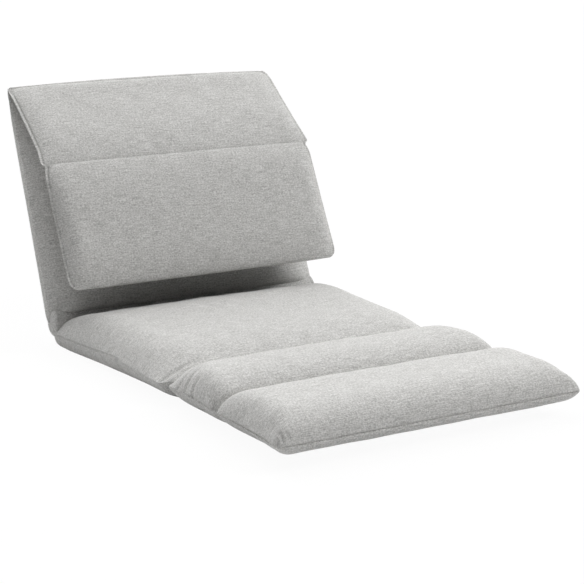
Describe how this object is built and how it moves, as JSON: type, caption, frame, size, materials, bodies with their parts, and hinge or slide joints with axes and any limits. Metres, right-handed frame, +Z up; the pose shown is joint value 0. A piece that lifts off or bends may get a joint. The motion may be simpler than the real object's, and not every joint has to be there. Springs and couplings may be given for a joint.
{
  "type": "floor sofa",
  "caption": "Folding floor sofa: a padded seat with a hinged leg rest, a reclining back on ratchet hinges, and a padded head flap that folds over the back.",
  "frame": {"origin": "middle of the seat's flat underside, on the floor", "axes": "+X to the right as seen from the feet, -Y towards the feet, +Z up"},
  "size_m": [0.5856, 1.0471, 0.471],
  "materials": {
    "cover_fabric": "heathered light grey weave",
    "foam": "open cell foam",
    "welt_cord": "twisted cotton cord",
    "frame_tube": "black powder coat",
    "hinge_steel": "zinc plated pressed steel",
    "spring_steel": "blued spring steel",
    "rivet_steel": "plain rivet steel"
  },
  "bodies": {
    "seat": {"seat_cover_top": "cover_fabric", "seat_cover_bottom": "cover_fabric", "seat_foam_upper": "foam", "seat_foam_lower": "foam", "seat_rail_left": "frame_tube", "seat_rail_right": "frame_tube", "seat_cross_tubes": "frame_tube", "recline_cheeks_left": "hinge_steel", "recline_cheeks_right": "hinge_steel", "legrest_cheeks_left": "hinge_steel", "legrest_cheeks_right": "hinge_steel", "recline_pivots": "rivet_steel", "legrest_pivots": "rivet_steel", "recline_leaf_pawls": "spring_steel", "legrest_leaf_pawls": "spring_steel", "seat_spigot_rivets": "rivet_steel"},
    "back": {"back_cover_front": "cover_fabric", "back_cover_rear": "cover_fabric", "back_foam_front": "foam", "back_foam_rear": "foam", "back_frame": "frame_tube", "back_cross_tubes": "frame_tube", "recline_wheel_left": "hinge_steel", "recline_wheel_right": "hinge_steel", "back_spigot_rivets": "rivet_steel"},
    "head_panel": {"head_cover_inner": "cover_fabric", "head_cover_outer": "cover_fabric", "head_foam": "foam", "head_fold_cord": "welt_cord"},
    "pillow": {"pillow_cover_inner": "cover_fabric", "pillow_cover_outer": "cover_fabric", "pillow_foam": "foam", "pillow_fold_cord": "welt_cord"},
    "legrest": {"legrest_cover_top": "cover_fabric", "legrest_cover_bottom": "cover_fabric", "legrest_foam_upper": "foam", "legrest_foam_lower": "foam", "legrest_frame": "frame_tube", "legrest_cross_tube": "frame_tube", "legrest_wheel_left": "hinge_steel", "legrest_wheel_right": "hinge_steel", "legrest_spigot_rivets": "rivet_steel"}
  },
  "joints": [
    {"name": "back_recline", "type": "hinge", "parent": "seat", "child": "back", "pos_m": [0, 0.24, 0.04], "axis": [1, 0, 0], "range_deg": [-66.67, 13.33], "deforming": ["recline_leaf_pawls"]},
    {"name": "head_flip", "type": "hinge", "parent": "back", "child": "head_panel", "pos_m": [0, 0.42497, 0.46881], "axis": [1, 0, 0], "range_deg": [-150, 0]},
    {"name": "pillow_fold", "type": "hinge", "parent": "head_panel", "child": "pillow", "pos_m": [0, 0.25572, 0.34281], "axis": [1, 0, 0], "range_deg": [-26, 0]},
    {"name": "legrest_raise", "type": "hinge", "parent": "seat", "child": "legrest", "pos_m": [0, -0.24, 0.04], "axis": [-1, 0, 0], "range_deg": [0, 80], "deforming": ["legrest_leaf_pawls"]}
  ]
}
